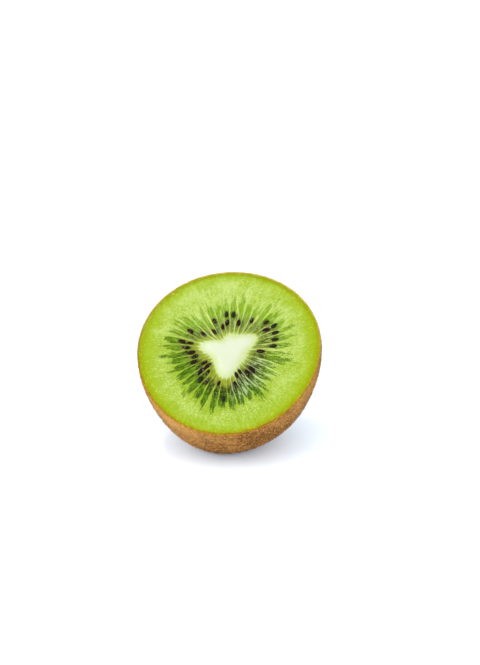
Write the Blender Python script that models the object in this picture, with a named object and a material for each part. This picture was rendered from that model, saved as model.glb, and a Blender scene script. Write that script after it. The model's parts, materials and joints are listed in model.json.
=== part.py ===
"""Half a kiwi fruit, resting on its skin with the cut face leaning up.

Metres, +Z up. The origin is the middle of the small flat spot that the fruit
rests on. The cut face looks towards -Y and up, and +X is its right side.
The half is modelled lying face up, with its face in the XY plane and its
skin below, and is then tipped onto its resting spot.
"""

import math

import bmesh
import bpy
import numpy as np
from mathutils import Matrix, Vector

MM = 0.001

# The half as a whole
FACE_RADIUS = 25.0 * MM
DOME_DEPTH = 32.5 * MM           # from the cut face to the fruit's end
DOME_FULLNESS = 2.2              # 2 is an ellipsoid, more is fuller
FACE_TILT = math.radians(42.6)   # how far the face is tipped from lying level
FLAT_DEPTH = 0.6 * MM            # how far the skin gives where it rests

# The face's outline is a little oval and a little three-cornered
OVAL_SIZE = 0.33 * MM
OVAL_ANGLE = math.radians(57.0)
CORNER_SIZE = 0.31 * MM
CORNER_ANGLE = math.radians(29.5)

# The pale core, a rounded shape with three blunt corners
CORE_SIDE = 5.0 * MM
CORE_CORNER = 8.4 * MM
CORE_CORNER_ANGLES = (36.0, 168.0, 265.0)
CORE_CORNER_WIDTH = 21.0
CORE_RISE = 0.35 * MM

# The seed chambers that fan out round the core
LOCULES = 40
LOCULE_END = 15.8 * MM           # reach of the chambers beside the core's sides
LOCULE_END_RISE = 2.4 * MM       # how much further they reach at its corners
LOCULE_SINK = 0.28 * MM
FIRST_WALL_AT_CORE = 6.0         # degrees
FIRST_WALL_AT_RIM = 3.0
FAN_START = 5.0 * MM             # the chambers bend from even spacing along the core
FAN_END = 15.0 * MM              # to even spacing round the face between these

# The seeds: one word for each chamber, one letter for each seed that shows in it
SEED_ROWS = "d d d bd c - c - b d bd a c a - a c - ac b b b c a ac bd c - a d - b a a b b - - - b"
SEED_REACH = {"a": 2.3 * MM, "b": 3.6 * MM, "c": 5.0 * MM, "d": 6.4 * MM}  # beyond the core
SEED_LENGTH = 2.0 * MM
SEED_WIDTH = 1.1 * MM
SEED_THICKNESS = 0.9 * MM
SEED_LIFT = -0.05 * MM           # of a seed's middle above the cut
SEED_SPREAD = 0.35 * MM

# The skin side
UNEVENNESS = 0.22 * MM

# The stalk scar at the fruit's end: a torn ring of dry skin round a hollow
SHOULDER_RADIUS = 7.0 * MM
SHOULDER_DIP = 1.3 * MM
SCAR_RADIUS = 3.7 * MM
SCAR_WIDTH = 1.0 * MM
SCAR_RISE = 1.3 * MM
STUB_RADIUS = 0.9 * MM
STUB_HEIGHT = 1.2 * MM

# Mesh fineness
SEGMENTS = 3 * LOCULES
FACE_RINGS = 15
SKIN_RINGS = 18
END_CROWDING = 2.0               # draws the skin's rings towards the fruit's end


def smooth_step(low, high, value):
    t = min(max((value - low) / (high - low), 0.0), 1.0)
    return t * t * (3.0 - 2.0 * t)


def cornerness(angle):
    """1 at the core's corners, falling to 0 between them."""
    total = 0.0
    for corner in CORE_CORNER_ANGLES:
        away = (math.degrees(angle) - corner + 180.0) % 360.0 - 180.0
        total += math.exp(-((away / CORE_CORNER_WIDTH) ** 2))
    return total


def core_reach(angle):
    return CORE_SIDE + (CORE_CORNER - CORE_SIDE) * cornerness(angle)


def outline_reach(angle):
    oval = OVAL_SIZE * math.cos(2.0 * (angle - OVAL_ANGLE))
    corners = CORNER_SIZE * math.cos(3.0 * (angle - CORNER_ANGLE))
    return FACE_RADIUS + oval + corners


def spread_along_core():
    """Angles round the core against the share of the way round it."""
    start = math.radians(FIRST_WALL_AT_CORE)
    angles = start + np.linspace(0.0, math.tau, 721)
    steps = np.array([core_reach(angle) for angle in angles])
    travelled = np.concatenate(([0.0], np.cumsum(steps[1:] + steps[:-1])))
    return travelled / travelled[-1], angles


CORE_SHARES, CORE_ANGLES = spread_along_core()


def fan_angle(turn, reach):
    """Angle at this reach on the line that fans out at this share of a turn."""
    turn %= 1.0
    at_core = float(np.interp(turn, CORE_SHARES, CORE_ANGLES))
    at_rim = math.radians(FIRST_WALL_AT_RIM) + turn * math.tau
    bend = min(max((reach - FAN_START) / (FAN_END - FAN_START), 0.0), 1.0)
    return at_core + (at_rim - at_core) * bend


def face_height(turn, reach, angle):
    """Relief of the cut: the core stands up a little, the chambers sink."""
    core = core_reach(angle)
    rise = CORE_RISE * (1.0 - smooth_step(0.55 * core, 1.1 * core, reach))
    end = LOCULE_END + LOCULE_END_RISE * cornerness(angle)
    inside = smooth_step(core, core + 1.5 * MM, reach) * (1.0 - smooth_step(0.7 * end, end, reach))
    from_wall = abs((turn * LOCULES + 0.5) % 1.0 - 0.5)
    return rise - LOCULE_SINK * inside * smooth_step(0.0, 0.3, from_wall)


def face_point(turn, share):
    """A point of the cut face, at this share of the way out to the rim."""
    reach = share * FACE_RADIUS
    angle = fan_angle(turn, reach)
    height = face_height(turn, reach, angle)
    reach = share * outline_reach(angle)
    return Vector((reach * math.cos(angle), reach * math.sin(angle), height))


def end_relief(reach, angle):
    """How far the skin stands out round the fruit's end: shoulder, ring and hollow."""
    dip = SHOULDER_DIP * math.exp(-((reach / SHOULDER_RADIUS) ** 4))
    tear = 1.0 + 0.18 * math.sin(3.0 * angle) + 0.15 * math.sin(7.0 * angle + 1.0)
    return SCAR_RISE * tear * math.exp(-(((reach - SCAR_RADIUS) / SCAR_WIDTH) ** 2)) - dip


def skin_point(turn, share):
    """A point of the skin, at this share of the way from rim to end."""
    angle = fan_angle(turn, FACE_RADIUS)
    swing = 0.5 * math.pi * (1.0 - (1.0 - share) ** END_CROWDING)
    across = max(math.cos(swing), 0.0) ** (2.0 / DOME_FULLNESS)
    down = math.sin(swing) ** (2.0 / DOME_FULLNESS)
    waves = math.sin(3.0 * angle + 2.0 * swing) + 0.6 * math.sin(5.0 * angle - 3.0 * swing)
    reach = across * outline_reach(angle) + UNEVENNESS * waves * math.sin(2.0 * swing)
    depth = DOME_DEPTH * down + end_relief(reach, angle)
    return Vector((reach * math.cos(angle), reach * math.sin(angle), -depth))


def tip_onto_skin():
    """Turns the level half onto its side and stands it on the origin's plane."""
    sine, cosine = math.sin(FACE_TILT), math.cos(FACE_TILT)
    power = DOME_FULLNESS / (DOME_FULLNESS - 1.0)
    radius = outline_reach(math.radians(-90.0))
    side, deep = (radius * sine) ** power, (DOME_DEPTH * cosine) ** power
    height = (side + deep) ** (1.0 / power)
    # The lowest point of the dome, in the level half's own Y and Z
    low_y = -(side / sine) * height ** (1.0 - power)
    low_z = -(deep / cosine) * height ** (1.0 - power)
    setback = low_y * cosine - low_z * sine
    place = Matrix.Translation((0.0, -setback, height - FLAT_DEPTH))
    return place @ Matrix.Rotation(FACE_TILT, 4, "X")


def clear_scene():
    for thing in list(bpy.data.objects):
        bpy.data.objects.remove(thing, do_unlink=True)


def new_collection(name):
    collection = bpy.data.collections.new(name)
    bpy.context.scene.collection.children.link(collection)
    return collection


def kiwi_material():
    material = bpy.data.materials.new("kiwi_half")
    material.use_nodes = True
    shader = material.node_tree.nodes["Principled BSDF"]
    shader.inputs["Base Color"].default_value = (0.43, 0.56, 0.09, 1.0)
    shader.inputs["Roughness"].default_value = 0.4
    shader.inputs["Metallic"].default_value = 0.0
    return material


def add_object(name, bm, collection):
    mesh = bpy.data.meshes.new(name)
    bmesh.ops.recalc_face_normals(bm, faces=bm.faces)
    bm.to_mesh(mesh)
    bm.free()
    mesh.shade_smooth()
    thing = bpy.data.objects.new(name, mesh)
    collection.objects.link(thing)
    return thing


def rest_flat(bm):
    """Cuts off what would reach below the surface, and closes the flat spot."""
    whole = list(bm.verts) + list(bm.edges) + list(bm.faces)
    cut = bmesh.ops.bisect_plane(
        bm, geom=whole, dist=1e-7, plane_co=(0, 0, 0), plane_no=(0, 0, -1), clear_outer=True
    )
    rim = [item for item in cut["geom_cut"] if isinstance(item, bmesh.types.BMEdge)]
    bmesh.ops.edgeloop_fill(bm, edges=rim)


def make_body(collection):
    """The half itself: a ball whose upper side is pressed into the cut face."""
    rings = FACE_RINGS + SKIN_RINGS
    bm = bmesh.new()
    bmesh.ops.create_uvsphere(bm, u_segments=SEGMENTS, v_segments=rings, radius=1.0)
    for vert in bm.verts:
        turn = (math.atan2(vert.co.y, vert.co.x) / math.tau) % 1.0
        ring = round(math.acos(max(-1.0, min(1.0, vert.co.z))) / math.pi * rings)
        if ring <= FACE_RINGS:
            vert.co = face_point(turn, ring / FACE_RINGS)
        else:
            vert.co = skin_point(turn, (ring - FACE_RINGS) / SKIN_RINGS)
    bm.transform(tip_onto_skin())
    rest_flat(bm)
    return add_object("kiwi_half", bm, collection)


def add_seed(place, angle, number, collection):
    bm = bmesh.new()
    bmesh.ops.create_uvsphere(bm, u_segments=6, v_segments=4, radius=0.5)
    lying = Matrix.Rotation(0.5 * math.pi, 4, "Y")
    size = Matrix.Diagonal((SEED_LENGTH, SEED_WIDTH, SEED_THICKNESS, 1.0))
    turned = Matrix.Translation(place) @ Matrix.Rotation(angle, 4, "Z")
    bm.transform(tip_onto_skin() @ turned @ size @ lying)
    add_object(f"seed_{number}", bm, collection)


def add_seeds(collection):
    rng = np.random.default_rng(5)
    number = 0
    for locule, row in enumerate(SEED_ROWS.split()):
        turn = (locule + 0.5) / LOCULES
        for letter in row.replace("-", ""):
            rough = fan_angle(turn, FAN_START + SEED_REACH[letter])
            reach = core_reach(rough) + SEED_REACH[letter] + rng.uniform(-1, 1) * SEED_SPREAD
            angle = fan_angle(turn, reach)
            place = Vector((reach * math.cos(angle), reach * math.sin(angle), SEED_LIFT))
            add_seed(place, angle + rng.uniform(-0.2, 0.2), number, collection)
            number += 1


def add_stub(collection):
    """What is left of the stalk, in the middle of the scar."""
    bm = bmesh.new()
    bmesh.ops.create_cone(
        bm, cap_ends=True, segments=10, radius1=0.7 * STUB_RADIUS, radius2=STUB_RADIUS, depth=STUB_HEIGHT
    )
    floor = -(DOME_DEPTH - SHOULDER_DIP)
    bm.transform(tip_onto_skin() @ Matrix.Translation((0.0, 0.0, floor)))
    add_object("stub", bm, collection)


def fuse(body, collection):
    """Joins everything in the collection to the body, then removes it."""
    union = body.modifiers.new("fuse", "BOOLEAN")
    union.operation = "UNION"
    union.operand_type = "COLLECTION"
    union.collection = collection
    union.solver = "EXACT"
    graph = bpy.context.evaluated_depsgraph_get()
    fused = bpy.data.meshes.new_from_object(body.evaluated_get(graph))
    fused.name = body.name
    body.modifiers.clear()
    body.data = fused
    for thing in list(collection.objects):
        bpy.data.objects.remove(thing, do_unlink=True)
    bpy.data.collections.remove(collection)


def main():
    clear_scene()
    kiwi = new_collection("kiwi_half")
    small = new_collection("seeds_and_stub")
    body = make_body(kiwi)
    add_seeds(small)
    add_stub(small)
    fuse(body, small)
    body.data.shade_smooth()
    body.data.materials.clear()
    body.data.materials.append(kiwi_material())


main()
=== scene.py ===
import json
import math
from types import SimpleNamespace

import bmesh
import bpy
import numpy as np
from mathutils import Matrix, Vector

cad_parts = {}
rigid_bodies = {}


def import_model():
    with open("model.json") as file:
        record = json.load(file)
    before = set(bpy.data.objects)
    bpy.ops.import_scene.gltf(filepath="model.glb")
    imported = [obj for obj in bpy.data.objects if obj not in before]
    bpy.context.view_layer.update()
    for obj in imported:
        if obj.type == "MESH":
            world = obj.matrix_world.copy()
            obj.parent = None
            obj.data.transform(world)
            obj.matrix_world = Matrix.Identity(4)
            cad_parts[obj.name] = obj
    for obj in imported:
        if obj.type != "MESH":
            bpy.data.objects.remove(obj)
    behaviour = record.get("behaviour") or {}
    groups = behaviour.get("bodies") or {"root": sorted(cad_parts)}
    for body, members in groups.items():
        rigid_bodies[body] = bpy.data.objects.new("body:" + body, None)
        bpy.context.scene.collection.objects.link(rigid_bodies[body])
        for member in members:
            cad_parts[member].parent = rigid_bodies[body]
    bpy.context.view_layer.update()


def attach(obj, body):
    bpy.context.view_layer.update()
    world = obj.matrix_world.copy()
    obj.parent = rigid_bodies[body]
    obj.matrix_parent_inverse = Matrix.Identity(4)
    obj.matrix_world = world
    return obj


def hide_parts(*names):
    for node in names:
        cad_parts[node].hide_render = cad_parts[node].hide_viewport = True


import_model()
mm = 0.001

# The half lies face up while it is modelled, with +X to the right of the cut face and
# +Y to its upper side. tipOntoSkin turns it onto the spot that it rests on.

half = {
    "faceRadius": 25.0 * mm,
    "domeDepth": 32.5 * mm,
    "domeFullness": 2.2,
    "faceTilt": math.radians(42.6),
    "flatDepth": 0.6 * mm,
    "ovalSize": 0.33 * mm,
    "ovalAngle": math.radians(57.0),
    "cornerSize": 0.31 * mm,
    "cornerAngle": math.radians(29.5),
    "fleshInset": 0.22 * mm,
    "endInset": 1.2 * mm,
    "unevenness": 0.22 * mm,
}

# Each corner or lobe is a direction on the face and a width, in degrees, and how much it swells

core = {
    "side": 5.0 * mm,
    "corner": 8.4 * mm,
    "corners": ((36.0, 21.0, 1.0), (168.0, 21.0, 1.0), (265.0, 21.0, 1.0)),
    "rise": 0.35 * mm,
    "edgeWidth": 1.5 * mm,
}

pith = {
    "side": 5.3 * mm,
    "lobes": ((31.0, 20.0, 3.4 * mm), (172.0, 19.0, 3.0 * mm), (267.0, 28.0, 3.5 * mm),
              (124.0, 21.0, -1.6 * mm)),
}

rays = {
    "end": 16.6 * mm,
    "lobes": ((33.0, 28.0, 2.3 * mm), (170.0, 20.0, 1.2 * mm), (262.0, 30.0, 1.8 * mm),
              (116.0, 22.0, -1.4 * mm), (337.0, 14.0, -1.5 * mm)),
    "spread": 1.2 * mm,
    "seed": 11,
}

fan = {
    "locules": 40,
    "end": 15.8 * mm,
    "endRise": 2.4 * mm,
    "sink": 0.28 * mm,
    "firstWallAtCore": math.radians(6.0),
    "firstWallAtRim": math.radians(3.0),
    "bendStart": 5.0 * mm,
    "bendEnd": 15.0 * mm,
}

# One word for each locule, from the right of the face towards its top, with a letter for each
# seed in it. The letter says how far beyond the core the seed lies, and d lies deep.

seedRows = {
    "words": "d d d bd c - c - b d bd a c a - a c - ac b b b c a ac bd c - a d - b a a b b - - - b",
    "reaches": {"a": 2.3 * mm, "b": 3.6 * mm, "c": 5.0 * mm, "d": 6.4 * mm},
    "reachSpread": 0.35 * mm,
    "headingSpread": 0.2,
    "seed": 5,
}

scar = {
    "shoulderRadius": 7.0 * mm,
    "shoulderDip": 1.3 * mm,
    "radius": 3.7 * mm,
    "width": 1.0 * mm,
    "rise": 1.3 * mm,
    "fade": 2.2 * mm,
    "tear": 0.28 * mm,
    "tearSize": 0.7 * mm,
    "stubRadius": 0.9 * mm,
    "stubHeight": 0.6 * mm,
}


# Shape rules, which take arrays


def smoothStep(low, high, value):
    t = np.clip((value - low) / (high - low), 0.0, 1.0)
    return t * t * (3.0 - 2.0 * t)


def swell(angle, lobes):
    total = 0.0
    for middle, width, size in lobes:
        away = (np.degrees(angle) - middle + 180.0) % 360.0 - 180.0
        total = total + size * np.exp(-((away / width) ** 2))
    return total


def cornerness(angle):
    # about 1 at the core's corners and 0 between them
    return swell(angle, core["corners"])


def coreReach(angle):
    return core["side"] + (core["corner"] - core["side"]) * cornerness(angle)


def pithReach(angle):
    # where the core's pale colour ends
    return pith["side"] + swell(angle, pith["lobes"])


def outlineReach(angle):
    oval = half["ovalSize"] * np.cos(2.0 * (angle - half["ovalAngle"]))
    corners = half["cornerSize"] * np.cos(3.0 * (angle - half["cornerAngle"]))
    return half["faceRadius"] + oval + corners


def spreadAlongCore():
    # shares of the way round the core's edge, and the angles that they stand at
    angles = fan["firstWallAtCore"] + np.linspace(0.0, math.tau, 721)
    steps = coreReach(angles)
    travelled = np.concatenate(([0.0], np.cumsum(steps[1:] + steps[:-1])))
    return travelled / travelled[-1], angles


coreShares, coreAngles = spreadAlongCore()


def fanAngle(turn, reach):
    # the locules share out the core's edge evenly, and the rim too
    turn = np.asarray(turn) % 1.0
    atCore = np.interp(turn, coreShares, coreAngles)
    atRim = fan["firstWallAtRim"] + turn * math.tau
    bend = np.clip((reach - fan["bendStart"]) / (fan["bendEnd"] - fan["bendStart"]), 0.0, 1.0)
    return atCore + (atRim - atCore) * bend


def rayEnd(turn, angle):
    # each ray ends at its own reach, and the walls between them join the ends smoothly
    rng = np.random.default_rng(rays["seed"])
    spread = rng.uniform(-1.0, 1.0, fan["locules"]) * rays["spread"]
    middles = (np.arange(-1, fan["locules"] + 1) + 0.5) / fan["locules"]
    closed = np.concatenate((spread[-1:], spread, spread[:1]))
    own = np.interp(np.asarray(turn) % 1.0, middles, closed)
    return rays["end"] + swell(angle, rays["lobes"]) + own


def faceHeight(turn, reach, angle):
    # the core stands up a little and each locule sinks between its walls
    coreEdge = coreReach(angle)
    rise = core["rise"] * (1.0 - smoothStep(0.55 * coreEdge, 1.1 * coreEdge, reach))
    end = fan["end"] + fan["endRise"] * cornerness(angle)
    inside = smoothStep(coreEdge, coreEdge + core["edgeWidth"], reach)
    inside = inside * (1.0 - smoothStep(0.7 * end, end, reach))
    fromWall = np.abs((turn * fan["locules"] + 0.5) % 1.0 - 0.5)
    return rise - fan["sink"] * inside * smoothStep(0.0, 0.3, fromWall)


def endRelief(reach, angle):
    # the scar's torn ring, in a shallow dip
    dip = scar["shoulderDip"] * np.exp(-((reach / scar["shoulderRadius"]) ** 4))
    tear = 1.0 + 0.18 * np.sin(3.0 * angle) + 0.15 * np.sin(7.0 * angle + 1.0)
    ring = np.exp(-(((reach - scar["radius"]) / scar["width"]) ** 2))
    return scar["rise"] * tear * ring - dip


def domePoint(turn, share, inset=0.0):
    # share 0 is the rim of the cut and 1 the fruit's end
    angle = fanAngle(turn, half["faceRadius"])
    swing = 0.5 * math.pi * (1.0 - (1.0 - share) ** 1.5)
    across = np.maximum(np.cos(swing), 0.0) ** (2.0 / half["domeFullness"])
    down = np.sin(swing) ** (2.0 / half["domeFullness"])
    waves = np.sin(3.0 * angle + 2.0 * swing) + 0.6 * np.sin(5.0 * angle - 3.0 * swing)
    reach = across * (outlineReach(angle) - inset) + half["unevenness"] * waves * np.sin(2.0 * swing)
    depth = (half["domeDepth"] - inset) * down + endRelief(reach, angle)
    return np.stack((reach * np.cos(angle), reach * np.sin(angle), -depth), axis=-1)


def tipOntoSkin():
    # turns the face up and forward and sets the lowest point of the skin on the floor
    sine, cosine = math.sin(half["faceTilt"]), math.cos(half["faceTilt"])
    power = half["domeFullness"] / (half["domeFullness"] - 1.0)
    radius = float(outlineReach(math.radians(-90.0)))
    side = (radius * sine) ** power
    deep = (half["domeDepth"] * cosine) ** power
    height = (side + deep) ** (1.0 / power)
    lowY = -(side / sine) * height ** (1.0 - power)
    lowZ = -(deep / cosine) * height ** (1.0 - power)
    setback = lowY * cosine - lowZ * sine
    place = Matrix.Translation((0.0, -setback, height - half["flatDepth"]))
    return place @ Matrix.Rotation(half["faceTilt"], 4, "X")


tipped = tipOntoSkin()


def tipPoints(points):
    turned = np.array(tipped.to_3x3())
    return points @ turned.T + np.array(tipped.translation)


def cornerNoise(cells):
    # an even spread from -1 to 1 for each whole-numbered place
    mixed = cells[:, 0] * 374761393 + cells[:, 1] * 668265263 + cells[:, 2] * 2147483647
    mixed = (mixed ^ (mixed >> 13)) * 1274126177
    return ((mixed ^ (mixed >> 16)) & 0xFFFF) / 32767.5 - 1.0


def rough(points, size, octaves=2):
    # noise from about -1 to 1, with bumps about this size
    total = np.zeros(len(points))
    for octave in range(octaves):
        scaled = points / size * 2.0 ** octave + 17.3 * octave
        low = np.floor(scaled).astype(np.int64)
        part = scaled - low
        part = part * part * (3.0 - 2.0 * part)
        for corner in np.ndindex(2, 2, 2):
            weight = np.prod(np.where(corner, part, 1.0 - part), axis=1)
            total += weight * cornerNoise(low + np.array(corner)) / 2.0 ** octave
    return total / 1.5


# Mesh making


def pressedBall(name, columns, ringsAbove, ringsBelow, upper, lower):
    # a ball whose upper and lower halves are pressed into two shapes that share a rim
    rings = ringsAbove + ringsBelow
    ring, column = np.divmod(np.arange((rings - 1) * columns), columns)
    ring = np.concatenate(([0], ring + 1, [rings]))
    turn = np.concatenate(([0], column, [0])) / columns
    above = ring <= ringsAbove
    share = np.where(above, ring / ringsAbove, (ring - ringsAbove) / ringsBelow)
    points = np.zeros((len(ring), 3))
    points[above] = upper(turn[above], share[above])
    points[~above] = lower(turn[~above], share[~above])
    # the pole above comes first, the rings next and the pole below last
    here = np.arange(columns)
    after = (here + 1) % columns
    last = len(ring) - 1
    lowest = last - columns
    faces = np.stack((np.zeros_like(here), 1 + here, 1 + after), axis=1).tolist()
    for k in range(rings - 2):
        top, low = 1 + k * columns, 1 + (k + 1) * columns
        faces += np.stack((low + here, low + after, top + after, top + here), axis=1).tolist()
    faces += np.stack((np.full_like(here, last), lowest + after, lowest + here), axis=1).tolist()
    mesh = bpy.data.meshes.new(name)
    mesh.from_pydata(points.tolist(), [], faces)
    return mesh, points, turn, share, above


def setPoints(mesh, points):
    mesh.vertices.foreach_set("co", np.asarray(points, dtype=np.float64).ravel())
    mesh.update()


def storeNumbers(mesh, name, values):
    layer = mesh.attributes.new(name, "FLOAT", "POINT")
    layer.data.foreach_set("value", np.asarray(values, dtype=np.float32))


def storeFan(mesh, turn, reach):
    # U is the share of a turn and V the reach, with the faces at the seam running past 1
    loops = np.zeros(len(mesh.loops), dtype=np.int32)
    mesh.loops.foreach_get("vertex_index", loops)
    starts = np.zeros(len(mesh.polygons), dtype=np.int32)
    mesh.polygons.foreach_get("loop_start", starts)
    u = turn[loops]
    highest = np.repeat(np.maximum.reduceat(u, starts), np.diff(np.append(starts, len(loops))))
    u = np.where(highest - u > 0.5, u + 1.0, u)
    uv = np.stack((u, reach[loops] / half["faceRadius"]), axis=-1)
    layer = mesh.uv_layers.new(name="fan")
    layer.data.foreach_set("uv", uv.astype(np.float32).ravel())


def addPiece(name, mesh, material):
    mesh.shade_smooth()
    mesh.materials.clear()
    mesh.materials.append(material)
    piece = bpy.data.objects.new(name, mesh)
    bpy.context.scene.collection.objects.link(piece)
    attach(piece, "root")
    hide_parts("kiwi_half")
    return piece


def shapeFrom(bm, name):
    # an unlinked object that a Geometry Nodes tree can repeat
    mesh = bpy.data.meshes.new(name)
    bm.to_mesh(mesh)
    bm.free()
    mesh.shade_smooth()
    return bpy.data.objects.new(name, mesh)


def restOnFloor(points):
    points[:, 2] = np.maximum(points[:, 2], 0.0)
    return points


# Shader maths


class Wire:
    # a node's output that can be used in plain maths

    def __init__(self, recipe, socket):
        self.recipe = recipe
        self.socket = socket

    def maths(self, operation, *others):
        sockets = dict(enumerate((self,) + others))
        return self.recipe.node("ShaderNodeMath", {"operation": operation}, sockets)

    def __add__(self, other):
        return self.maths("ADD", other)

    def __radd__(self, other):
        return self.maths("ADD", other)

    def __sub__(self, other):
        return self.maths("SUBTRACT", other)

    def __rsub__(self, other):
        return self.maths("MULTIPLY_ADD", -1.0, other)

    def __mul__(self, other):
        return self.maths("MULTIPLY", other)

    def __pow__(self, other):
        return self.maths("POWER", other)

    def step(self, low, high):
        # 0 below low, 1 above high, smooth between
        settings = {"interpolation_type": "SMOOTHSTEP"}
        low, high, start, end = (low, high, 0.0, 1.0) if low < high else (high, low, 1.0, 0.0)
        sockets = {"Value": self, "From Min": low, "From Max": high, "To Min": start, "To Max": end}
        return self.recipe.node("ShaderNodeMapRange", settings, sockets)


class Recipe:
    # one material's nodes

    def __init__(self, name):
        self.material = bpy.data.materials.new(name)
        self.material.use_nodes = True
        self.tree = self.material.node_tree
        self.tree.nodes.clear()

    def node(self, kind, settings=None, sockets=None, out=0):
        made = self.tree.nodes.new(kind)
        for key, value in (settings or {}).items():
            setattr(made, key, value)
        for key, value in (sockets or {}).items():
            if isinstance(value, Wire):
                self.tree.links.new(value.socket, made.inputs[key])
            else:
                made.inputs[key].default_value = value
        return None if out is None else Wire(self, made.outputs[out])

    def number(self, attribute):
        return self.node("ShaderNodeAttribute", {"attribute_name": attribute}, out="Fac")

    def place(self, scale):
        # Object coordinates, in units of this many per metre
        coordinates = self.node("ShaderNodeTexCoord", out="Object")
        return self.node("ShaderNodeVectorMath", {"operation": "SCALE"}, {0: coordinates, "Scale": scale})

    def vector(self, x, y, z):
        return self.node("ShaderNodeCombineXYZ", None, {0: x, 1: y, 2: z})

    def noise(self, vector, scale=1.0, detail=2.0, roughness=0.5):
        sockets = {"Vector": vector, "Scale": scale, "Detail": detail, "Roughness": roughness}
        return self.node("ShaderNodeTexNoise", None, sockets, out="Fac")

    def cells(self, vector, scale=1.0, out="Distance"):
        return self.node("ShaderNodeTexVoronoi", None, {"Vector": vector, "Scale": scale}, out)

    def mix(self, factor, first, second):
        return self.node("ShaderNodeMix", {"data_type": "RGBA"}, {0: factor, 6: first, 7: second}, out=2)

    def bump(self, height, strength, distance):
        sockets = {"Height": height, "Strength": strength, "Distance": distance}
        return self.node("ShaderNodeBump", None, sockets)

    def finish(self, sockets):
        shader = self.node("ShaderNodeBsdfPrincipled", None, sockets)
        self.node("ShaderNodeOutputMaterial", None, {"Surface": shader}, out=None)
        return self.material


def colour(red, green, blue):
    # a colour as a screen shows it, from 0 to 255, in the linear values that shaders use
    parts = [c / 255.0 for c in (red, green, blue)]
    return tuple(c / 12.92 if c < 0.04045 else ((c + 0.055) / 1.055) ** 2.4 for c in parts) + (1.0,)


# Flesh: the cut face with its core, seed chambers and rim, closed below by the dome's inside

flesh = {
    "columns": 600,
    "faceRings": 120,
    "insideRings": 24,
    "rimDip": 0.12 * mm,
    "rimDipWidth": 0.8 * mm,
    "rimHeld": 0.4 * mm,
    "waviness": 0.06 * mm,
    "wavinessSize": 6.0 * mm,
    "grain": 0.035 * mm,
    "grainSize": 0.45 * mm,
    "grainStart": 2.0 * mm,
    "pulp": 0.07 * mm,
    "pulpSize": 0.7 * mm,
    "pulpStart": 1.5 * mm,
    "meniscus": 0.12 * mm,
    "meniscusWidth": 0.8 * mm,
    "seedShadowWidth": 1.15 * mm,
    "pale": colour(191, 213, 104),
    "mid": colour(150, 177, 35),
    "fog": colour(199, 217, 138),
    "deep": colour(155, 180, 6),
    "rim": colour(151, 166, 0),
    "rimShade": colour(128, 146, 4),
    "rimLine": colour(166, 160, 0),
    "fleck": colour(216, 228, 155),
    "fleckRim": colour(206, 214, 60),
    "coreMiddle": colour(218, 224, 194),
    "coreEdge": colour(205, 216, 153),
    "wall": colour(199, 212, 112),
    # painted glint: whitish walls at the lower right
    "paintedGlintWall": colour(205, 216, 183),
    "wallGreen": colour(140, 172, 10),
    # painted sheen: whitish wet film in the chambers at the lower right
    "paintedWetSheen": colour(176, 192, 160),
    "innerEnd": colour(140, 152, 46),
    "innerYellow": colour(160, 162, 40),
    "chamberPale": colour(128, 150, 42),
    "chamberDark": colour(20, 32, 5),
    "chamberGrey": colour(115, 126, 72),
    # painted shade, in the chambers' gaps and round the seeds
    "paintedShade": colour(13, 17, 4),
    "bead": colour(178, 198, 104),
    "tipPale": colour(126, 163, 10),
    "tipDark": colour(70, 108, 0),
    "tipTop": colour(116, 164, 2),
    "tipGreen": colour(104, 148, 0),
    "tipDeep": colour(50, 84, 0),
}


def facePoints(turn, share):
    reach = share * (half["faceRadius"] - half["fleshInset"])
    angle = fanAngle(turn, reach)
    height = faceHeight(turn, reach, angle)
    reach = share * (outlineReach(angle) - half["fleshInset"])
    return np.stack((reach * np.cos(angle), reach * np.sin(angle), height), axis=-1)


def fleshUnderside(turn, share):
    inset = half["fleshInset"] + half["endInset"] * smoothStep(0.5, 1.0, share)
    return domePoint(turn, share, inset)


def seedPlaces():
    rng = np.random.default_rng(seedRows["seed"])
    places = []
    for locule, word in enumerate(seedRows["words"].split()):
        turn = (locule + 0.5) / fan["locules"]
        for letter in word.replace("-", ""):
            beyond = seedRows["reaches"][letter]
            first = fanAngle(turn, fan["bendStart"] + beyond)
            reach = coreReach(first) + beyond + rng.uniform(-1, 1) * seedRows["reachSpread"]
            angle = fanAngle(turn, reach)
            heading = angle + rng.uniform(-1, 1) * seedRows["headingSpread"]
            places.append((reach * math.cos(angle), reach * math.sin(angle), heading, letter == "d"))
    return np.array(places, dtype=float)


seedSpots = seedPlaces()


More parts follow.
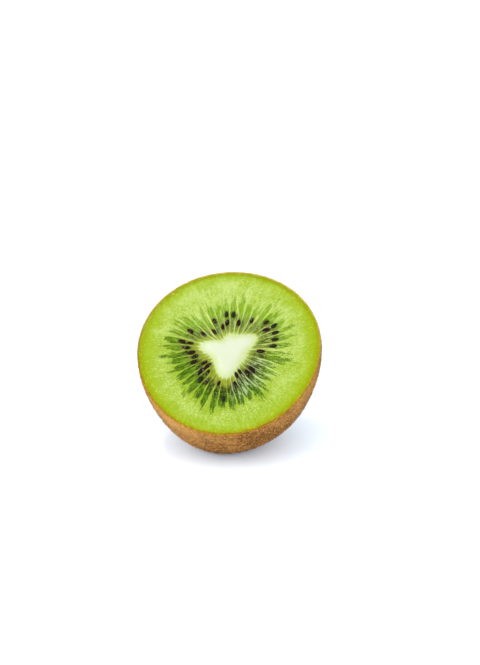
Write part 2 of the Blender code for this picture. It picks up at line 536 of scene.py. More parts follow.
def facePatterns(r):
    # what the cut face's colours are drawn from, with its noises from -0.5 to 0.5
    p = SimpleNamespace()
    uv = r.node("ShaderNodeUVMap", {"uv_map": "fan"})
    turn = r.node("ShaderNodeSeparateXYZ", None, {0: uv}, out=0)
    around = turn * math.tau
    p.toRight = around.maths("COSINE")
    p.toTop = around.maths("SINE")
    p.beyondCore = r.number("beyondCoreMm")
    p.rayShare = r.number("rayShare")
    p.fromRim = r.number("fromRimMm")
    reach = r.number("reachMm")
    place = r.place(1000.0)

    def streaks(radius, stretch, detail):
        # changes fast round the face and slowly outwards
        spot = r.vector(p.toRight * radius, p.toTop * radius, reach * stretch)
        return r.noise(spot, 1.0, detail, 0.6) - 0.5

    p.broad = streaks(8.0, 0.12, 2.0)
    p.fibres = streaks(34.0, 0.4, 3.0)
    p.pulp = streaks(17.0, 0.8, 3.0)
    p.speck = r.noise(place, 3.2, 2.0, 0.6) - 0.5
    p.mottle = r.noise(place, 1.1, 3.0, 0.6) - 0.5
    p.blotch = r.noise(place, 0.28, 2.0, 0.5) - 0.5
    p.cells = r.cells(place, 1.7)
    p.cellChance = r.node("ShaderNodeSeparateColor", None, {0: r.cells(place, 1.7, out="Color")})
    p.spatter = r.noise(place, 2.7, 1.5, 0.6) - 0.5 + (p.cellChance - 0.5) * 0.08 + p.blotch * 0.12
    p.lowerLeft = (p.toRight * -0.6 - p.toTop * 0.8).step(-0.3, 0.7)
    # 0 in the middle of a locule and 1 on the walls beside it, and a chance for each locule
    locule = turn * float(fan["locules"]) + p.broad * 1.1
    p.fromMiddle = (locule.maths("FRACT") - 0.5).maths("ABSOLUTE") * 2.0
    whole = locule.maths("FLOOR").maths("MODULO", float(fan["locules"]))
    p.chance = r.node("ShaderNodeTexWhiteNoise", {"noise_dimensions": "1D"}, {"W": whole}, out="Value")
    # flame-shaped seed chambers, with feathery tips
    p.feathers = p.fibres * 0.95 + p.pulp * 0.4 + p.speck * 0.2
    wedge = p.fromMiddle ** 3.2 * p.rayShare.step(0.4, 1.0) * (0.85 - p.lowerLeft * 0.35)
    p.tongue = p.rayShare + wedge + p.feathers * (1.0 - p.lowerLeft * 0.35)
    side = (p.fromMiddle + p.mottle * 0.3).step(1.0, 0.8)
    p.inward = (p.beyondCore + p.fibres * 2.0).step(-0.2, 0.6)
    flame = ((p.tongue - 0.99) * (1.0 + p.lowerLeft * 0.5)).step(0.14, -0.18)
    p.chamber = flame * side * p.inward
    return p


def outerFlesh(r, p):
    # paler towards the top, and deeper coloured towards the rim at both sides
    look = flesh
    tone = p.fibres * 0.3 + p.mottle * 0.2 + p.speck * 0.8 + p.blotch * 0.22 + p.toTop * 0.03
    body = r.mix(tone.step(-0.18, 0.18), look["mid"], look["pale"])
    fog = (p.blotch + p.mottle * 0.4 + p.toTop * 0.1).step(-0.08, 0.25) * p.fromRim.step(1.5, 4.0)
    body = r.mix(fog * (0.06 + p.toTop.step(-0.2, 0.9) * 0.2), body, look["fog"])
    sideways = p.toRight * p.toRight - p.toTop * p.toTop
    toRim = (p.fromRim + p.blotch * 4.0 - sideways * 1.3 + p.fibres * 3.0).step(6.0, 0.8)
    body = r.mix(toRim * 0.85, body, look["deep"])
    body = r.mix((p.fromRim + p.mottle * 1.4 - sideways * 0.4).step(2.0, 0.4), body, look["rim"])
    shade = (p.fromRim + p.mottle * 1.2).step(1.9, 0.3) * p.toTop.step(0.2, 0.9)
    body = r.mix(shade * 0.6, body, look["rimShade"])
    body = r.mix((p.fromRim + p.speck * 0.8).step(0.8, 0.0) * 0.85, body, look["rimLine"])
    # pale flecks: broken pulp cells, and painted glints of the wet cells
    fleck = (p.cells + p.speck * 0.8).step(0.3, 0.12) * p.cellChance.step(0.7, 0.9)
    pulpAndGlintFlecks = (p.spatter.step(0.11, 0.19) * 0.7).maths("MAXIMUM", fleck * 0.35)
    fleckColour = r.mix((p.fromRim + p.mottle * 2.0).step(1.0, 6.0), look["fleckRim"], look["fleck"])
    body = r.mix(pulpAndGlintFlecks, body, fleckColour)
    # greener between the rays, most of all below
    between = (p.rayShare + p.feathers * 0.5).step(1.2, 0.85)
    below = (p.toRight * -0.3 - p.toTop * 0.9).step(0.1, 0.8)
    body = r.mix(between * (0.1 + p.lowerLeft * 0.3), body, look["deep"])
    return r.mix(between * below * 0.55, body, look["wallGreen"])


def chamberFlesh(r, p):
    # mottled dark near the core, with saturated tips
    look = flesh
    grains = p.pulp * 1.2 + p.fibres * 1.8 + p.speck * 1.1 + p.toTop * 0.08
    ending = grains - p.tongue.step(0.65, 0.95) * 0.1
    inner = r.mix(grains.step(-0.1, 0.26), look["chamberDark"], look["chamberPale"])
    above = r.mix(grains.step(-0.3, 0.2), look["tipPale"], look["tipTop"])
    below = r.mix(ending.step(-0.22, 0.24), look["tipDeep"], look["tipGreen"])
    outer = r.mix(ending.step(-0.24, 0.2), look["tipDark"], look["tipPale"])
    outer = r.mix(p.toTop.step(0.0, 0.8) * 0.7, outer, above)
    outer = r.mix(p.lowerLeft * 0.9, outer, below)
    body = r.mix((p.beyondCore + p.mottle * 2.0).step(3.4, 7.0), inner, outer)
    # greyish gel, most towards the top: partly its own tone and partly a painted reflection of the light
    greyAndSheen = (p.toTop * 0.5 + p.chance * 0.6).step(0.2, 0.9) * p.beyondCore.step(7.0, 3.0)
    body = r.mix(greyAndSheen * (0.4 - p.lowerLeft * 0.2), body, look["chamberGrey"])
    # pale beads of pulp, partly painted highlights on them
    bead = (p.cells + p.speck * 0.3).step(0.28, 0.1) * p.cellChance.step(0.35, 0.6)
    beadsAndHighlights = bead.maths("MAXIMUM", p.spatter.step(0.1, 0.16)) * (0.5 - p.lowerLeft * 0.25)
    body = r.mix(beadsAndHighlights, body, look["bead"])
    # painted shade: dark gaps between the pulp, most on the lower left, and a painted shadow ring round
    # each seed
    shady = (p.toRight * -0.5 - p.toTop * 0.8 + p.chance * 0.8).step(-0.4, 0.8)
    band = p.beyondCore.step(1.0, 2.5) * p.beyondCore.step(8.0, 5.0)
    paintedShadeGaps = (p.pulp + p.speck * 0.4 - (p.fromMiddle - 0.5) * 0.12).step(0.02, -0.1)
    paintedShadeGaps = (paintedShadeGaps * band * shady * 0.9).maths("MAXIMUM", r.number("seedShadow") * 0.55)
    body = r.mix(paintedShadeGaps, body, look["paintedShade"])
    # where the chamber meets the core
    innerEnd = r.mix(p.lowerLeft * 0.7, look["innerEnd"], look["innerYellow"])
    innerEnd = r.mix(p.fibres.step(0.0, 0.16) * 0.6, innerEnd, look["wall"])
    atCore = (p.beyondCore + p.toRight * 0.7 + p.toTop * 0.4 + p.broad * 2.5).step(2.6, 0.7)
    return r.mix(atCore * 0.85, body, innerEnd)


def addWalls(r, p, body):
    # pale walls and threads; at the lower right a painted glint turns the wet walls and chambers whitish
    look = flesh
    paintedGlintSide = (p.toRight * 0.64 - p.toTop * 0.77 + p.broad * 0.6).step(0.72, 1.0)
    paintedSheenBand = p.beyondCore.step(1.0, 2.5) * p.beyondCore.step(9.5, 6.5)
    paintedWetSheen = (p.fibres * 0.7 + p.pulp * 0.3).step(0.0, 0.1) * paintedGlintSide * p.chamber * paintedSheenBand
    body = r.mix(paintedWetSheen * 0.65, body, look["paintedWetSheen"])
    thread = p.fibres.step(0.06, 0.16) * (0.6 - p.lowerLeft * 0.4) * p.chamber
    line = p.fromMiddle.step(0.76, 0.94) * p.inward * (p.rayShare + p.mottle * 0.6).step(0.95, 0.6)
    walls = thread.maths("MAXIMUM", line * (0.45 + p.chance * 0.5 - p.lowerLeft * 0.2))
    wall = r.mix(p.lowerLeft * 0.7, look["wall"], look["wallGreen"])
    return r.mix(walls, body, r.mix(paintedGlintSide * 0.7, wall, look["paintedGlintWall"]))


def fleshMaterial():
    r = Recipe("kiwi_flesh")
    p = facePatterns(r)
    depth = 0.97 - p.chance * 0.12 - (p.toTop * 0.5 + 0.5) * 0.12
    body = r.mix(p.chamber * depth, outerFlesh(r, p), chamberFlesh(r, p))
    body = addWalls(r, p, body)
    toEdge = (p.beyondCore + p.mottle * 1.5).step(-2.8, -0.3)
    spikes = p.fromMiddle.step(0.5, 1.0) * 0.8 + p.fibres * 1.5 - p.mottle * 0.8
    isCore = (p.beyondCore - spikes).step(0.25, -0.7)
    body = r.mix(isCore, body, r.mix(toEdge, flesh["coreMiddle"], flesh["coreEdge"]))
    # a wet surface, finely grained but for the core
    height = p.fibres * 0.5 + p.speck * 0.6 + p.mottle * 0.3 - p.cells * 0.5 + 0.7
    return r.finish({
        "Base Color": body,
        "Roughness": 0.36 + p.speck * 0.4,
        "Normal": r.bump(height * (1.0 - isCore * 0.75), 0.8, 0.15 * mm),
        "Subsurface Weight": 0.2,
        "Subsurface Radius": (1.0, 1.3, 0.5),
        "Subsurface Scale": 0.2 * mm,
        "IOR": 1.38,
        "Specular IOR Level": 0.06,
        "Coat Weight": 0.06,
        "Coat Roughness": 0.08,
    })


def makeFlesh():
    look = flesh
    mesh, points, turn, share, above = pressedBall(
        "cut_flesh", look["columns"], look["faceRings"], look["insideRings"], facePoints, fleshUnderside)
    reach = np.hypot(points[:, 0], points[:, 1])
    angle = np.arctan2(points[:, 1], points[:, 0])
    fromRim = np.where(above, outlineReach(angle) - half["fleshInset"] - reach, 0.0)
    beyondCore = reach - pithReach(angle)
    rayShare = beyondCore / (rayEnd(turn, angle) - pithReach(angle))
    # fine relief, on the cut face only
    inRays = smoothStep(0.0, look["pulpStart"], beyondCore) * (1.0 - smoothStep(0.7, 1.0, rayShare))
    inFlesh = smoothStep(0.0, look["grainStart"], beyondCore)
    lift = look["waviness"] * rough(points, look["wavinessSize"])
    lift += look["grain"] * rough(points, look["grainSize"]) * inFlesh
    lift += look["pulp"] * rough(points + 1.0, look["pulpSize"]) * inRays
    lift -= look["rimDip"] * (1.0 - smoothStep(0.0, look["rimDipWidth"], fromRim))
    # painted shadow: a dark ring round each seed, kept for the flesh's colour
    seedShadow = np.zeros(len(points))
    for x, y, heading, deep in seedSpots:
        away = np.hypot(points[:, 0] - x, points[:, 1] - y)
        clinging = np.exp(-((away / look["meniscusWidth"]) ** 2))
        lift += look["meniscus"] * clinging * (0.5 if deep else 1.0)
        seedShadow = np.maximum(seedShadow, np.exp(-((away / look["seedShadowWidth"]) ** 4)) * above)
    points[:, 2] += np.where(above, lift * smoothStep(0.0, look["rimHeld"], fromRim), 0.0)
    setPoints(mesh, restOnFloor(tipPoints(points)))
    storeFan(mesh, turn, reach)
    storeNumbers(mesh, "reachMm", reach / mm)
    storeNumbers(mesh, "beyondCoreMm", beyondCore / mm)
    storeNumbers(mesh, "rayShare", rayShare)
    storeNumbers(mesh, "fromRimMm", fromRim / mm)
    storeNumbers(mesh, "seedShadow", seedShadow)
    addPiece("cut_flesh", mesh, fleshMaterial())
    print("flesh:", len(mesh.polygons), "faces")


# Skin: a thin closed shell, from its inner wall over the cut edge to the stalk scar

skin = {
    "columns": 480,
    "innerRings": 16,
    "outerRings": 150,
    "edgeShare": 0.3125,
    "edgeWidth": 0.34 * mm,
    "wallBelow": 1.6 * mm,
    "edgeStand": 0.07 * mm,
    "edgeStandDepth": 0.25 * mm,
    "edgeBumps": 0.6 * mm,
    "edgeHeld": 0.6 * mm,
    "leather": 0.05 * mm,
    "leatherSize": 0.8 * mm,
    "lumps": 0.07 * mm,
    "lumpsSize": 3.5 * mm,
    "strokeSlant": math.radians(38.0),
    "pale": colour(196, 141, 75),
    "mid": colour(138, 86, 33),
    "dark": colour(78, 38, 10),
    "edge": colour(204, 156, 46),
    "edgeInner": colour(162, 124, 6),
    "edgeDark": colour(150, 104, 20),
    # painted highlight on the cut edge where it stands highest
    "edgeHighlight": colour(230, 210, 120),
    # painted light: paler skin near the cut edge, on the lower left and lower right
    "paintedLightSide": ((232.0, 34.0, 1.0), (336.0, 30.0, 0.8)),
    "paintedLightDepth": 9.0 * mm,
    "paintedLight": colour(222, 168, 96),
    "scarRing": colour(166, 116, 66),
    "scarHollow": colour(76, 48, 26),
}


def skinInside(turn, share):
    # runs from the fruit's end up inside the wall, then outwards over the cut edge
    fromEdge = 1.0 - share
    across = np.clip(fromEdge / skin["edgeShare"], 0.0, 1.0)
    down = np.clip((fromEdge - skin["edgeShare"]) / (1.0 - skin["edgeShare"]), 0.0, 1.0)
    around = turn * math.tau
    ragged = 1.0 + 0.25 * np.sin(31 * around) + 0.2 * np.sin(73 * around + 1.3)
    ragged = ragged + 0.15 * np.sin(127 * around)
    inset = skin["edgeWidth"] * across * ragged + skin["wallBelow"] * down
    return domePoint(turn, down, inset)


def skinGrain(r, place):
    # pale and dark fibres that run along the fruit, for the skin and its fuzz
    lengthways = r.node("ShaderNodeMapping", None, {
        "Vector": place, "Rotation": (-half["faceTilt"], 0.0, 0.0), "Scale": (1.0, 1.0, 0.55)})
    patches = r.noise(place, 0.16, 3.0, 0.6) - 0.5
    fibrous = r.noise(lengthways, 2.4, 2.0, 0.65) - 0.5
    # longer slanting strokes in front, below the cut
    slanting = r.node("ShaderNodeMapping", None, {
        "Vector": place, "Rotation": (0.0, skin["strokeSlant"], 0.0), "Scale": (0.4, 1.0, 1.2)})
    inFront = r.node("ShaderNodeSeparateXYZ", None, {0: place}, out="Y").step(-2.0, -14.0)
    strokes = (r.noise(slanting, 2.0, 2.0, 0.6) - 0.5) * inFront
    return patches * 0.6 + fibrous * 1.4 + strokes * 1.6


def skinMaterial():
    r = Recipe("kiwi_skin")
    look = skin
    place = r.place(1000.0)
    edge = r.number("edgeMm")
    speckle = r.noise(place, 2.2, 3.0, 0.65) - 0.5
    tufts = r.cells(place, 1.1)
    tone = skinGrain(r, place) + speckle * 0.6
    body = r.mix(tone.step(-0.26, 0.0), look["dark"], look["mid"])
    body = r.mix(tone.step(0.0, 0.26), body, look["pale"])
    # painted light, on the lower left and lower right near the cut edge
    body = r.mix(r.number("paintedLightSide") * (0.55 + speckle * 0.5), body, look["paintedLight"])
    body = r.mix(r.number("scarShare") * (0.8 + speckle * 0.8), body, look["scarRing"])
    body = r.mix(r.number("hollowShare") * 0.85, body, look["scarHollow"])
    # the cut edge, with a painted highlight that makes it paler where it stands highest
    cut = r.mix(speckle.step(0.12, -0.05), look["edge"], look["edgeDark"])
    cut = r.mix((edge + speckle * 0.4).step(-0.06, -0.28) * 0.85, cut, look["edgeInner"])
    high = r.node("ShaderNodeSeparateXYZ", None, {0: place}, out="Z").step(24.0, 44.0)
    cut = r.mix(high * edge.step(0.25, 0.0) * 0.8, cut, look["edgeHighlight"])
    body = r.mix((edge + speckle * 1.2).step(1.3, 0.0) * 0.8, body, cut)
    return r.finish({
        "Base Color": body,
        "Roughness": 0.72,
        "Normal": r.bump(speckle * 0.7 - tufts * 0.4, 0.6, 0.25 * mm),
        "Sheen Weight": 0.03,
        "Sheen Roughness": 0.4,
        "Sheen Tint": (1.0, 0.72, 0.42, 1.0),
        "IOR": 1.4,
        "Specular IOR Level": 0.05,
    })


def makeSkin():
    look = skin
    mesh, points, turn, share, inner = pressedBall(
        "brown_skin", look["columns"], look["innerRings"], look["outerRings"], skinInside, domePoint)
    angle = np.arctan2(points[:, 1], points[:, 0])
    reach = np.hypot(points[:, 0], points[:, 1])
    depth = -points[:, 2]
    outer = ~inner
    atEnd = outer & (depth > 0.5 * half["domeDepth"])
    inScar = np.where(atEnd, 1.0 - smoothStep(scar["radius"], scar["radius"] + scar["fade"], reach), 0.0)
    inHollow = inScar * (1.0 - smoothStep(0.45 * scar["radius"], 0.85 * scar["radius"], reach))
    stub = outer & (reach < scar["stubRadius"]) & (inScar > 0.5)
    # leathery relief outside, torn at the scar
    outward = points * np.array([1.0, 1.0, 0.6])
    outward /= np.maximum(np.linalg.norm(outward, axis=1, keepdims=True), 1e-9)
    lift = look["leather"] * rough(points, look["leatherSize"])
    lift += look["lumps"] * rough(points, look["lumpsSize"])
    lift += scar["tear"] * rough(points * np.array([1.0, 1.0, 0.3]), scar["tearSize"], 3) * inScar
    lift = np.where(outer, lift * smoothStep(0.0, look["edgeHeld"], depth), 0.0)
    points += outward * lift[:, None]
    points[stub, 2] -= scar["stubHeight"]
    # the cut edge stands a little proud of the flesh
    stand = look["edgeStand"] * np.exp(-((points[:, 2] / look["edgeStandDepth"]) ** 2))
    stand = stand * (reach > 0.6 * half["faceRadius"])
    points[:, 2] += stand * (1.0 + 0.5 * rough(points, look["edgeBumps"]))
    edge = np.where(outer, -points[:, 2], reach - outlineReach(angle))
    setPoints(mesh, restOnFloor(tipPoints(points)))
    storeNumbers(mesh, "edgeMm", edge / mm)
    storeNumbers(mesh, "scarShare", inScar)
    storeNumbers(mesh, "hollowShare", inHollow)
    # where the painted light falls, fading away from the cut edge
    paintedLightBand = np.exp(-((depth / look["paintedLightDepth"]) ** 2))
    storeNumbers(mesh, "paintedLightSide", swell(angle, look["paintedLightSide"]) * paintedLightBand)
    storeNumbers(mesh, "outer", np.where(outer & (inHollow < 0.3), 1.0, 0.0))
    piece = addPiece("brown_skin", mesh, skinMaterial())
    print("skin:", len(mesh.polygons), "faces")
    return piece


# Seeds: one teardrop set on every spot by Geometry Nodes

seed = {
    "length": 2.4 * mm,
    "width": 1.2 * mm,
    "thickness": 0.95 * mm,
    "lift": 0.02 * mm,
    "deepLift": -0.14 * mm,
    "sizes": (0.72, 1.05),
    "tip": 0.25,
    "randomSeed": 3,
    "dark": colour(14, 6, 4),
    "red": colour(62, 24, 10),
    # painted glint on the seeds' wet film
    "paintedWetSheen": colour(164, 172, 160),
    "deep": colour(30, 44, 15),
}


class Tree:
    # a Geometry Nodes tree with named inputs

    def __init__(self, name, inputs):
        self.tree = bpy.data.node_groups.new(name, "GeometryNodeTree")
        self.tree.interface.new_socket("Geometry", in_out="INPUT", socket_type="NodeSocketGeometry")
        self.ids = {}
        for key, kind in inputs.items():
            self.ids[key] = self.tree.interface.new_socket(key, in_out="INPUT", socket_type=kind).identifier
        self.tree.interface.new_socket("Geometry", in_out="OUTPUT", socket_type="NodeSocketGeometry")
        self.start = self.tree.nodes.new("NodeGroupInput")
        self.end = self.tree.nodes.new("NodeGroupOutput")

    def given(self, name):
        return self.start.outputs[name]

    def node(self, kind, settings=None, sockets=None, out=0):
        made = self.tree.nodes.new(kind)
        for key, value in (settings or {}).items():
            setattr(made, key, value)
        for key, value in (sockets or {}).items():
            if isinstance(value, bpy.types.NodeSocket):
                self.tree.links.new(value, made.inputs[key])
            else:
                made.inputs[key].default_value = value
        return made.outputs[out]

    def random(self, low, high, seedSocket):
        sockets = {"Min": low, "Max": high, "Seed": seedSocket}
        return self.node("FunctionNodeRandomValue", {"data_type": "FLOAT"}, sockets, out=1)

    def close(self, geometry, material):
        real = self.node("GeometryNodeRealizeInstances", None, {0: geometry})
        painted = self.node("GeometryNodeSetMaterial", None, {0: real, "Material": material})
        self.tree.links.new(painted, self.end.inputs[0])

    def run(self, name, source, values):
        # the tree's result on a copy of the source mesh, as a plain mesh
        carrier = bpy.data.objects.new(name, source.copy())
        bpy.context.scene.collection.objects.link(carrier)
        modifier = carrier.modifiers.new("grow", "NODES")
        modifier.node_group = self.tree
        for key, value in values.items():
            modifier[self.ids[key]] = value
        graph = bpy.context.evaluated_depsgraph_get()
        mesh = bpy.data.meshes.new_from_object(carrier.evaluated_get(graph))
        mesh.name = name
        carrier.modifiers.clear()
        bpy.data.objects.remove(carrier, do_unlink=True)
        return mesh


def seedMaterial():
    r = Recipe("kiwi_seed")
    place = r.place(1000.0)
    streak = r.noise(place, 2.5, 2.0, 0.5)
    body = r.mix(streak.step(0.42, 0.6), seed["dark"], seed["red"])
    # painted glints: pale shreds on some seeds, standing in for the shine of their wet film
    paintedSheenShreds = r.noise(place, 1.3, 2.0, 0.6).step(0.58, 0.68) * r.noise(place, 0.4, 0.0).step(0.45, 0.6)
    body = r.mix(paintedSheenShreds * 0.65, body, seed["paintedWetSheen"])
    body = r.mix(r.number("deep") * 0.7, body, seed["deep"])
    pits = r.noise(place, 9.0, 2.0, 0.5)
    return r.finish({
        "Base Color": body,
        "Roughness": 0.3,
        "Normal": r.bump(pits, 0.25, 0.06 * mm),
        "Specular IOR Level": 0.06,
        "Coat Weight": 0.1,
        "Coat Roughness": 0.1,
    })


def seedShape():
    # a flattened teardrop along X, with its point towards the core
    bm = bmesh.new()
    bmesh.ops.create_uvsphere(bm, u_segments=20, v_segments=14, radius=0.5)
    for vert in bm.verts:
        along = vert.co.z * 2.0
        taper = 1.0 - 0.42 * (0.5 - 0.5 * along) ** 2 - 0.1 * max(along, 0.0) ** 3
        flat = 0.8 if vert.co.x < 0 else 1.0
        x, y = vert.co.x * seed["thickness"] * taper * flat, vert.co.y * seed["width"] * taper
        vert.co = Vector((-vert.co.z * seed["length"], y, x))
    bmesh.ops.recalc_face_normals(bm, faces=bm.faces)
    return shapeFrom(bm, "seed_shape")


def seedTree(material):
    tree = Tree("set_seeds", {"Seed": "NodeSocketObject", "Smallest": "NodeSocketFloat",
                              "Largest": "NodeSocketFloat", "Tip": "NodeSocketFloat",
                              "Random Seed": "NodeSocketInt"})
    heading = tree.node("GeometryNodeInputNamedAttribute", {"data_type": "FLOAT"}, {"Name": "heading"})
    tip = tree.random(0.0, tree.given("Tip"), tree.given("Random Seed"))
    turned = tree.node("ShaderNodeCombineXYZ", None, {1: tip, 2: heading})
    info = tree.node("GeometryNodeObjectInfo", None, {"Object": tree.given("Seed")}, out="Geometry")
    onSpots = tree.node("GeometryNodeInstanceOnPoints", None,
                        {"Points": tree.given("Geometry"), "Instance": info, "Rotation": turned})
    size = tree.random(tree.given("Smallest"), tree.given("Largest"), tree.given("Random Seed"))
    sized = tree.node("GeometryNodeScaleInstances", None, {"Instances": onSpots, "Scale": size})
    tree.close(sized, material)
    return tree


def makeSeeds():
    spots = bpy.data.meshes.new("seed_spots")
    deep = seedSpots[:, 3]
    heights = np.where(deep > 0.5, seed["deepLift"], seed["lift"])
    spots.from_pydata(np.column_stack((seedSpots[:, :2], heights)).tolist(), [], [])
    storeNumbers(spots, "heading", seedSpots[:, 2])
    storeNumbers(spots, "deep", deep)
    material = seedMaterial()
    shape = seedShape()
    smallest, largest = seed["sizes"]
    mesh = seedTree(material).run("black_seeds", spots, {
        "Seed": shape, "Smallest": smallest, "Largest": largest, "Tip": seed["tip"],
        "Random Seed": seed["randomSeed"]})
    mesh.transform(tipped)
    bpy.data.objects.remove(shape, do_unlink=True)
    addPiece("black_seeds", mesh, material)
    print("seeds:", len(seedSpots), "in", len(mesh.polygons), "faces")


# Fuzz: short hairs on the skin, in four kinds

fuzz = {
    "kinds": {
        "fuzz_stubble": {"density": 2.75e6, "length": 0.4 * mm, "radius": 0.045 * mm, "bend": 0.4,
                         "joints": 2, "lean": 1.1, "seed": 4},
        "fuzz_short": {"density": 1.9e6, "length": 0.6 * mm, "radius": 0.04 * mm, "bend": 0.6,
                       "joints": 3, "lean": 1.0, "seed": 1},
        "fuzz_bent": {"density": 1.15e6, "length": 0.95 * mm, "radius": 0.032 * mm, "bend": 1.1,
                      "joints": 5, "lean": 0.9, "seed": 2},
        "fuzz_long": {"density": 0.18e6, "length": 1.5 * mm, "radius": 0.024 * mm, "bend": 2.4,
                      "joints": 9, "lean": 0.8, "seed": 3},
    },
    "sizes": (0.6, 1.25),
    "leastLean": 0.1,
    "shadeSpread": 0.55,
    "shadeSeedStep": 50.0,
    "paintedLight": colour(230, 184, 112),
    "pale": colour(226, 172, 102),
    "dark": colour(72, 34, 6),
}


def fuzzMaterial():
    r = Recipe("kiwi_fuzz")
    grain = skinGrain(r, r.place(1000.0)) + (r.number("shade") - 0.5) * fuzz["shadeSpread"]
    body = r.mix(grain.step(-0.3, 0.3), fuzz["dark"], fuzz["pale"])
    # the same painted light on the fuzz
    body = r.mix(r.number("paintedLightSide") * 0.6, body, fuzz["paintedLight"])
    return r.finish({"Base Color": body, "Roughness": 0.8, "IOR": 1.4, "Specular IOR Level": 0.05})


def hairShape(kind):
    # a three-sided hair that bends over, thinner towards its tip
    bm = bmesh.new()
    bmesh.ops.create_cone(bm, cap_ends=True, segments=3, radius1=1.0, radius2=1.0, depth=1.0)
    sides = [edge for edge in bm.edges if abs(edge.verts[0].co.z - edge.verts[1].co.z) > 0.5]
    bmesh.ops.subdivide_edges(bm, edges=sides, cuts=kind["joints"] - 1)
    for vert in bm.verts:
        along = vert.co.z + 0.5
        thin = kind["radius"] * (1.0 - 0.75 * along)
        curl = kind["bend"] * along
        middleX = kind["length"] * (1.0 - math.cos(curl)) / kind["bend"]
        middleZ = kind["length"] * math.sin(curl) / kind["bend"]
        vert.co = Vector((middleX + vert.co.x * thin * math.cos(curl), vert.co.y * thin,
                          middleZ - vert.co.x * thin * math.sin(curl)))
    return shapeFrom(bm, "hair_shape")


def fuzzTree(material):
    # hairs scattered on the skin's outside, turned and leant at random, each with its own shade
    tree = Tree("grow_fuzz", {"Hair": "NodeSocketObject", "Density": "NodeSocketFloat",
                              "Lean": "NodeSocketFloat", "Smallest": "NodeSocketFloat",
                              "Largest": "NodeSocketFloat", "Random Seed": "NodeSocketInt"})
    randomSeed = tree.given("Random Seed")
    outer = tree.node("GeometryNodeInputNamedAttribute", {"data_type": "FLOAT"}, {"Name": "outer"})
    scatter = {"Mesh": tree.given("Geometry"), "Selection": outer, "Density": tree.given("Density"),
               "Seed": randomSeed}
    points = tree.node("GeometryNodeDistributePointsOnFaces", None, scatter, out="Points")
    upright = points.node.outputs["Rotation"]
    info = tree.node("GeometryNodeObjectInfo", None, {"Object": tree.given("Hair")}, out="Geometry")
    hairs = tree.node("GeometryNodeInstanceOnPoints", None,
                      {"Points": points, "Instance": info, "Rotation": upright})
    spin = tree.node("ShaderNodeCombineXYZ", None, {2: tree.random(0.0, math.tau, randomSeed)})
    leanAngle = tree.random(fuzz["leastLean"], tree.given("Lean"), randomSeed)
    lean = tree.node("ShaderNodeCombineXYZ", None, {1: leanAngle})
    for turned in (spin, lean):
        hairs = tree.node("GeometryNodeRotateInstances", None, {"Instances": hairs, "Rotation": turned})
    size = tree.random(tree.given("Smallest"), tree.given("Largest"), randomSeed)
    hairs = tree.node("GeometryNodeScaleInstances", None, {"Instances": hairs, "Scale": size})
    shadeSeed = tree.node("ShaderNodeMath", {"operation": "ADD"}, {0: randomSeed, 1: fuzz["shadeSeedStep"]})
    shade = tree.random(0.0, 1.0, shadeSeed)
    hairs = tree.node("GeometryNodeStoreNamedAttribute", {"data_type": "FLOAT", "domain": "INSTANCE"},
                      {"Geometry": hairs, "Name": "shade", "Value": shade})
    tree.close(hairs, material)
    return tree


def makeFuzz(skinPiece):
    material = fuzzMaterial()
    tree = fuzzTree(material)
    smallest, largest = fuzz["sizes"]
    for name, kind in fuzz["kinds"].items():
        hair = hairShape(kind)
        mesh = tree.run(name, skinPiece.data, {
            "Hair": hair, "Density": kind["density"], "Lean": kind["lean"], "Smallest": smallest,
            "Largest": largest, "Random Seed": kind["seed"]})
        bpy.data.objects.remove(hair, do_unlink=True)
        flat = np.zeros(len(mesh.vertices) * 3)
        mesh.vertices.foreach_get("co", flat)
        setPoints(mesh, restOnFloor(flat.reshape(-1, 3)))
        addPiece(name, mesh, material)
        mesh.calc_loop_triangles()
        print(name + ":", len(mesh.loop_triangles), "triangles")


# Stage: a pale floor, soft light and the camera

stage = {
    "floorSize": 12.0,
    "floorColour": colour(241, 248, 254),
    "floorGlow": 0.135,
    "floorGlowColour": colour(165, 213, 255),
    "skyColour": (0.96, 0.98, 1.0, 1.0),
    "skyStrength": 0.875,
    "sunStrength": 1.43,
    "sunAngle": math.radians(50.0),
    "sunFrom": (-1.0, -0.45, 0.3),
    "glintStrength": 0.42,
    "glintAngle": math.radians(5.0),
    "glintFrom": (-0.25, -0.15, 1.0),
    "washStrength": 3.1,
    "washAngle": math.radians(70.0),
    "washFrom": (0.1, -1.0, 0.6),
    "cameraElevation": math.radians(18.0),
    "cameraAzimuth": math.radians(5.0),
    "cameraDistance": 0.4995,
    "cameraLens": 100.0,
    "lookRight": 3.07 * mm,
    "lookUp": 4.81 * mm,
}


def makeFloor():
    bm = bmesh.new()
    bmesh.ops.create_grid(bm, x_segments=2, y_segments=2, size=stage["floorSize"] / 2.0)
    mesh = bpy.data.meshes.new("floor")
    bm.to_mesh(mesh)
    bm.free()
    r = Recipe("pale_floor")
    mesh.materials.append(r.finish({
        "Base Color": stage["floorColour"],
        "Roughness": 0.7,
        "Emission Color": stage["floorGlowColour"],
        "Emission Strength": stage["floorGlow"],
    }))
    floor = bpy.data.objects.new("floor", mesh)
    bpy.context.scene.collection.objects.link(floor)
    return floor


def makeSun(name, strength, angle, source):
    lamp = bpy.data.lights.new(name, "SUN")
    lamp.energy = strength
    lamp.angle = angle
    sun = bpy.data.objects.new(name, lamp)
    sun.rotation_euler = Vector(source).to_track_quat("Z", "Y").to_euler()
    bpy.context.scene.collection.objects.link(sun)
    return sun


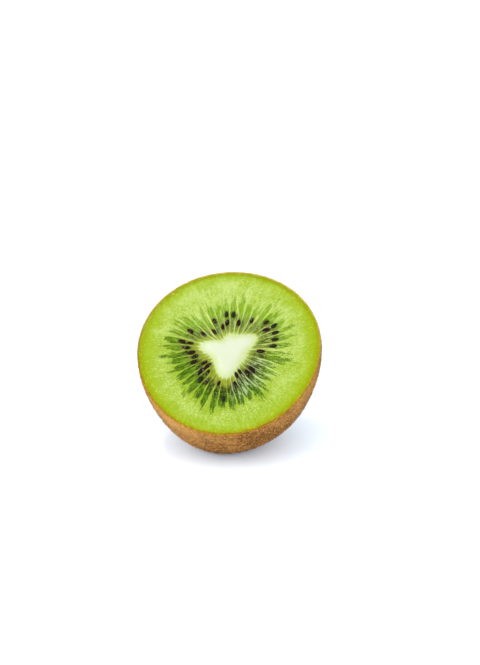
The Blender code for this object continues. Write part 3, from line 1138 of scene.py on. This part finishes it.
def makeLight(floor):
    # the sky lights the scene softly and shows as white behind the floor
    world = bpy.data.worlds.new("studio")
    world.use_nodes = True
    bpy.context.scene.world = world
    tree = world.node_tree
    sky = tree.nodes["Background"]
    sky.inputs["Color"].default_value = stage["skyColour"]
    sky.inputs["Strength"].default_value = stage["skyStrength"]
    seen = tree.nodes.new("ShaderNodeBackground")
    seen.inputs["Color"].default_value = (1.0, 1.0, 1.0, 1.0)
    split = tree.nodes.new("ShaderNodeMixShader")
    ray = tree.nodes.new("ShaderNodeLightPath")
    tree.links.new(ray.outputs["Is Camera Ray"], split.inputs[0])
    tree.links.new(sky.outputs[0], split.inputs[1])
    tree.links.new(seen.outputs[0], split.inputs[2])
    tree.links.new(split.outputs[0], tree.nodes["World Output"].inputs["Surface"])
    makeSun("softbox", stage["sunStrength"], stage["sunAngle"], stage["sunFrom"])
    makeSun("glint", stage["glintStrength"], stage["glintAngle"], stage["glintFrom"])
    # this one lights the floor alone, so that it comes out white with a tight shadow
    wash = makeSun("wash", stage["washStrength"], stage["washAngle"], stage["washFrom"])
    washed = bpy.data.collections.new("washed")
    washed.objects.link(floor)
    wash.light_linking.receiver_collection = washed


def makeCamera():
    elevation, azimuth = stage["cameraElevation"], stage["cameraAzimuth"]
    back = Vector((math.sin(azimuth) * math.cos(elevation), -math.cos(azimuth) * math.cos(elevation),
                   math.sin(elevation)))
    right = Vector((math.cos(azimuth), math.sin(azimuth), 0.0))
    up = back.cross(right)
    target = tipped.translation + right * stage["lookRight"] + up * stage["lookUp"]
    lens = bpy.data.cameras.new("camera")
    lens.lens = stage["cameraLens"]
    lens.sensor_width = 36.0
    lens.clip_end = 100.0
    camera = bpy.data.objects.new("camera", lens)
    camera.location = target + back * stage["cameraDistance"]
    camera.rotation_mode = "QUATERNION"
    camera.rotation_quaternion = back.to_track_quat("Z", "Y")
    bpy.context.scene.collection.objects.link(camera)
    bpy.context.scene.camera = camera
    bpy.context.scene.view_settings.view_transform = "Standard"


makeFlesh()
skinPiece = makeSkin()
makeSeeds()
makeFuzz(skinPiece)
floor = makeFloor()
makeLight(floor)
makeCamera()
print("stage: floor, light and camera")
